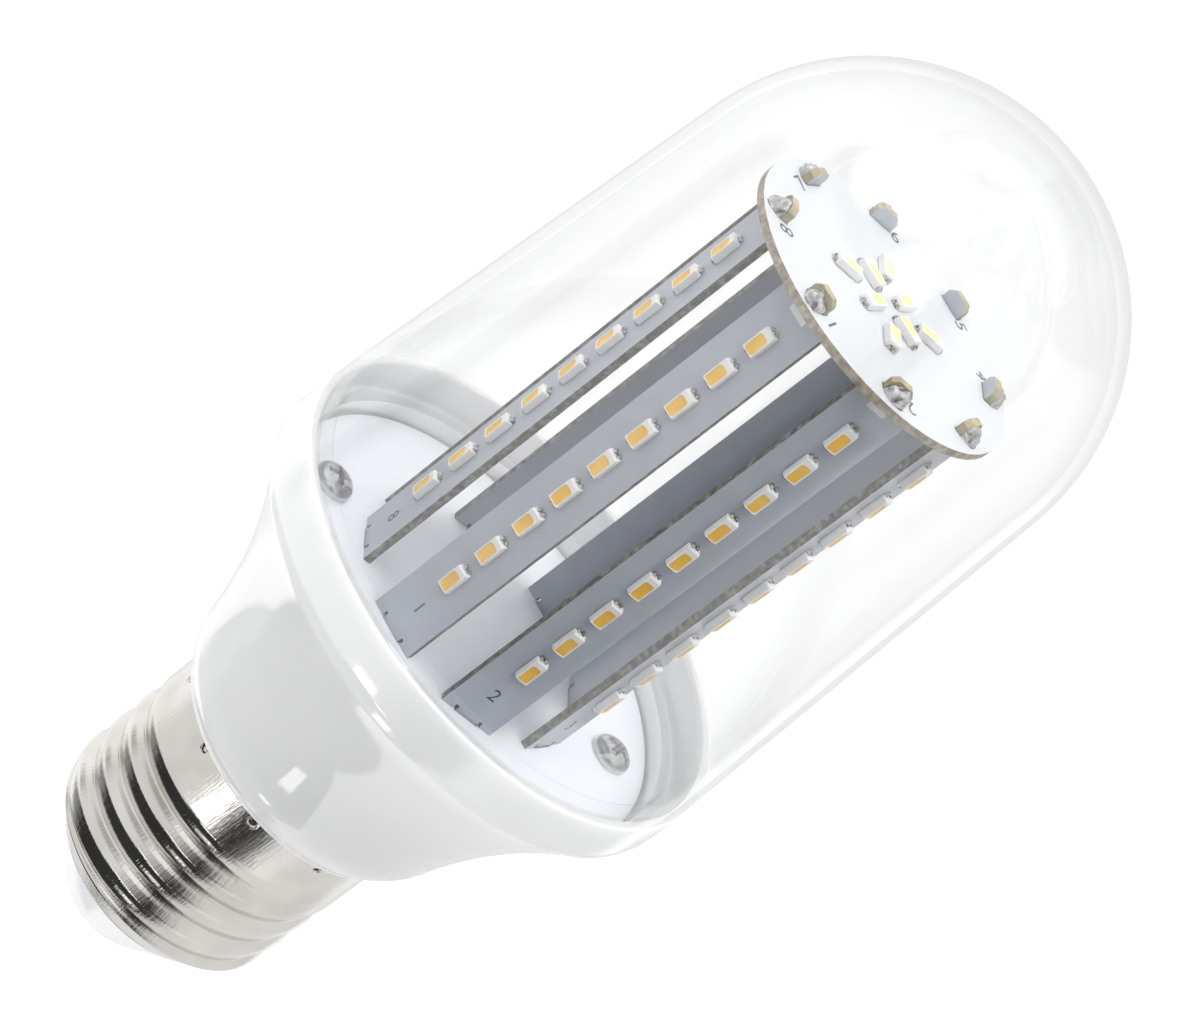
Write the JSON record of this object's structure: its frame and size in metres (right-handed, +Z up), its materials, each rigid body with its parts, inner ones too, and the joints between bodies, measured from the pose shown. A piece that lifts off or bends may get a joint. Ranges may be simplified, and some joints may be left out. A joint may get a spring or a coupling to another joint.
{
  "type": "corn led light bulb with an edison screw cap",
  "caption": "Corn LED bulb with a nickel screw cap, a white housing, upright strips of LEDs round a top board, and a clear bullet cover",
  "frame": {"origin": "tip of the centre contact, on the bulb's axis", "axes": "+Z up the bulb's axis from the screw cap to the tip of the clear cover; +X and +Y square to it, the second LED strip 14 degrees from +X towards +Y"},
  "size_m": [0.0508, 0.0508, 0.1219],
  "materials": {
    "nickel_plate": "polished",
    "insulator_white": "gloss",
    "contact_metal": "polished",
    "housing_white": "gloss",
    "clear_plastic": "clear",
    "board_white": "satin",
    "led_white": "satin",
    "phosphor_yellow": "satin",
    "solder": "polished",
    "screw_steel": "polished",
    "driver_board_tan": "satin",
    "winding_tape": "satin",
    "ferrite_black": "matte",
    "package_black": "matte",
    "choke_sleeve": "satin",
    "capacitor_sleeve": "satin",
    "film_box": "satin",
    "resistor_coat": "matte",
    "wire_red": "satin",
    "wire_black": "satin",
    "wire_white": "satin"
  },
  "bodies": {
    "root": {"screw_shell": "nickel_plate", "cap_insulator": "insulator_white", "centre_contact": "contact_metal", "housing": "housing_white", "clear_cover": "clear_plastic", "base_board": "board_white", "top_board": "board_white", "led_strip_1": "board_white", "strip_1_leds": "led_white", "strip_1_phosphors": "phosphor_yellow", "led_strip_2": "board_white", "strip_2_leds": "led_white", "strip_2_phosphors": "phosphor_yellow", "led_strip_3": "board_white", "strip_3_leds": "led_white", "strip_3_phosphors": "phosphor_yellow", "led_strip_4": "board_white", "strip_4_leds": "led_white", "strip_4_phosphors": "phosphor_yellow", "led_strip_5": "board_white", "strip_5_leds": "led_white", "strip_5_phosphors": "phosphor_yellow", "led_strip_6": "board_white", "strip_6_leds": "led_white", "strip_6_phosphors": "phosphor_yellow", "led_strip_7": "board_white", "strip_7_leds": "led_white", "strip_7_phosphors": "phosphor_yellow", "led_strip_8": "board_white", "strip_8_leds": "led_white", "strip_8_phosphors": "phosphor_yellow", "top_leds": "led_white", "top_phosphors": "phosphor_yellow", "base_board_screws": "screw_steel", "top_solder_joints": "solder", "base_solder_joints": "solder", "driver_board": "driver_board_tan", "transformer_winding": "winding_tape", "transformer_core": "ferrite_black", "bridge_rectifier": "package_black", "controller_chip": "package_black", "choke": "choke_sleeve", "input_capacitor": "capacitor_sleeve", "output_capacitor": "capacitor_sleeve", "film_capacitor": "film_box", "fusible_resistor": "resistor_coat", "positive_wire": "wire_red", "negative_wire": "wire_black", "live_wire": "wire_red", "neutral_wire": "wire_white"}
  },
  "joints": []
}
